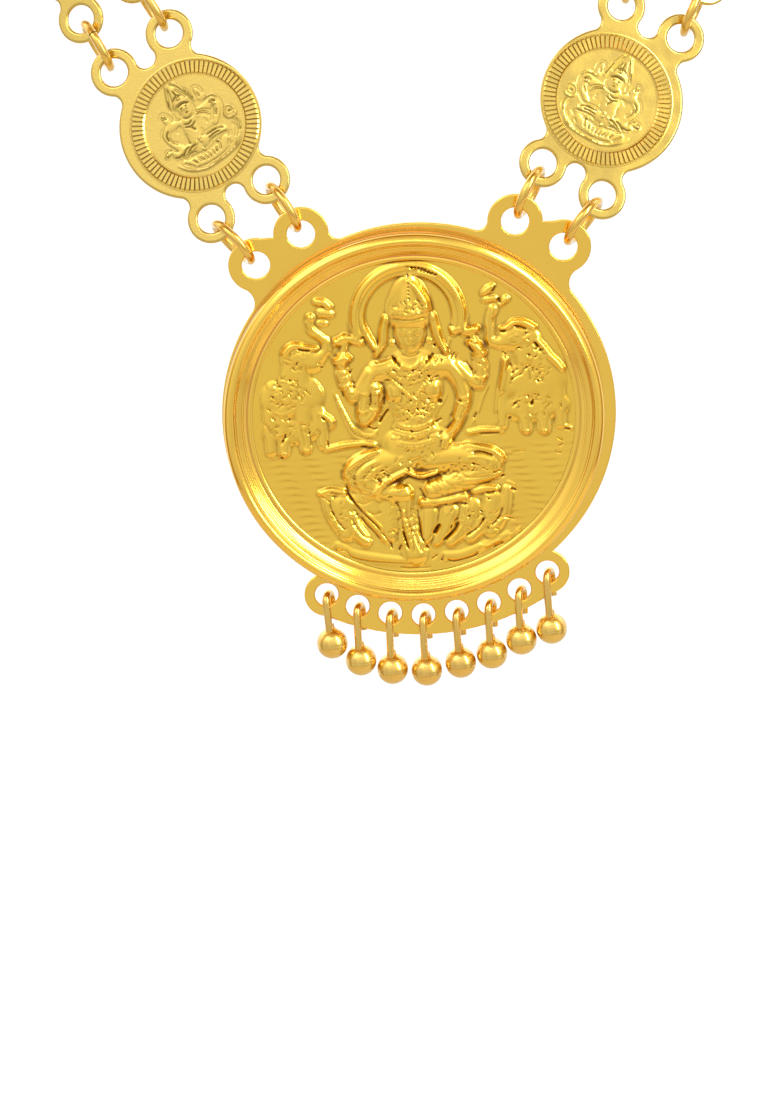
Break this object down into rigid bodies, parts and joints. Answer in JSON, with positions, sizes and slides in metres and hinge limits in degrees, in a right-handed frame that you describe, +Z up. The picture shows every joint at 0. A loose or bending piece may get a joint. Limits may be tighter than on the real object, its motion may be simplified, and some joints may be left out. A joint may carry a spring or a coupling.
{
  "type": "temple necklace",
  "caption": "Stamped gold-plated necklace: a round framed medal with ball drops hung on double rows of jump rings and round stamped coins that close at the nape.",
  "frame": {"origin": "middle of the clasp's inner face, where the loop rests on the nape", "axes": "+Z up as worn, the medal faces -Y, +X to the viewer's right when the medal is looked at"},
  "size_m": [0.1404, 0.1625, 0.1897],
  "materials": {
    "gold_plate": "polished gold plating on stamped brass",
    "gold_coin": "satin gold plating on stamped brass",
    "gold_wire": "polished gold plating on brass wire",
    "gold_ball": "warm satin gold plating on brass"
  },
  "bodies": {
    "chain": {"clasp": "gold_coin", "coin_left_1": "gold_coin", "coin_left_2": "gold_coin", "coin_left_3": "gold_coin", "coin_left_4": "gold_coin", "coin_left_5": "gold_coin", "coin_left_6": "gold_coin", "coin_left_7": "gold_coin", "coin_left_8": "gold_coin", "coin_left_9": "gold_coin", "coin_right_1": "gold_coin", "coin_right_2": "gold_coin", "coin_right_3": "gold_coin", "coin_right_4": "gold_coin", "coin_right_5": "gold_coin", "coin_right_6": "gold_coin", "coin_right_7": "gold_coin", "coin_right_8": "gold_coin", "coin_right_9": "gold_coin", "rings_left_0": "gold_wire", "rings_left_1": "gold_wire", "rings_left_2": "gold_wire", "rings_left_3": "gold_wire", "rings_left_4": "gold_wire", "rings_left_5": "gold_wire", "rings_left_6": "gold_wire", "rings_left_7": "gold_wire", "rings_left_8": "gold_wire", "rings_left_9": "gold_wire", "rings_right_0": "gold_wire", "rings_right_1": "gold_wire", "rings_right_2": "gold_wire", "rings_right_3": "gold_wire", "rings_right_4": "gold_wire", "rings_right_5": "gold_wire", "rings_right_6": "gold_wire", "rings_right_7": "gold_wire", "rings_right_8": "gold_wire", "rings_right_9": "gold_wire"},
    "medal": {"pendant_plate": "gold_plate", "pendant_rim": "gold_plate", "pendant_relief": "gold_plate", "drop_1": "gold_ball", "drop_2": "gold_ball", "drop_3": "gold_ball", "drop_4": "gold_ball", "drop_5": "gold_ball", "drop_6": "gold_ball", "drop_7": "gold_ball", "drop_8": "gold_ball"}
  },
  "joints": [
    {"name": "medal_swing", "type": "hinge", "parent": "chain", "child": "medal", "pos_m": [0, -0.15545, -0.13009], "axis": [1, 0, 0], "range_deg": [-12, 8]}
  ]
}
